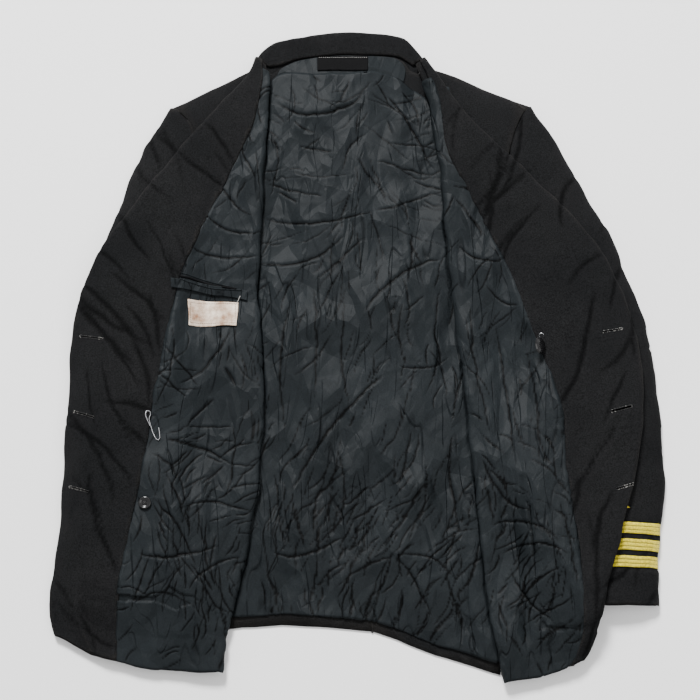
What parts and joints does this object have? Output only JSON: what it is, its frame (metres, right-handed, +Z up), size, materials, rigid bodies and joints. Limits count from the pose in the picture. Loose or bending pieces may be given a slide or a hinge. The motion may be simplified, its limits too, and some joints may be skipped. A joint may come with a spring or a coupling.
{
  "type": "naval service dress jacket",
  "caption": "Dark wool double-breasted dress jacket laid open on its back, lined fronts folded out over the sleeves, gold lace and star at the cuffs.",
  "frame": {"origin": "middle of the footprint of the laid-out jacket, on the surface that it lies on", "axes": "+X towards the wearer's left sleeve, which is right in the picture; +Y along the back towards the collar; +Z up from the surface"},
  "size_m": [0.7118, 0.8056, 0.0396],
  "materials": {
    "wool": "near-black navy worsted wool",
    "lining": "dark blue-grey satin lining",
    "gold_lace": "woven gold metallic lace",
    "black_label": "bare black woven label",
    "tan_label": "bare beige cotton label, stained",
    "button": "black moulded button",
    "pin_steel": "plated steel wire"
  },
  "bodies": {
    "root": {"back_left": "wool", "back_lining": "lining", "back_neck_facing": "lining", "back_right": "wool", "button_flat": "button", "button_tilted": "button", "collar": "wool", "facing_left": "wool", "facing_right": "wool", "front_left": "wool", "front_lining_left": "lining", "front_lining_right": "lining", "front_right": "wool", "lace_left_1": "gold_lace", "lace_left_2": "gold_lace", "lace_left_3": "gold_lace", "lace_right_1": "gold_lace", "lace_right_2": "gold_lace", "lace_right_3": "gold_lace", "neck_label": "black_label", "pocket_label": "tan_label", "pocket_welt": "lining", "safety_pin": "pin_steel", "side_left": "wool", "side_right": "wool", "sleeve_top_left": "wool", "sleeve_top_right": "wool", "sleeve_under_left": "wool", "sleeve_under_right": "wool", "star_left": "gold_lace", "star_right": "gold_lace"}
  },
  "joints": []
}
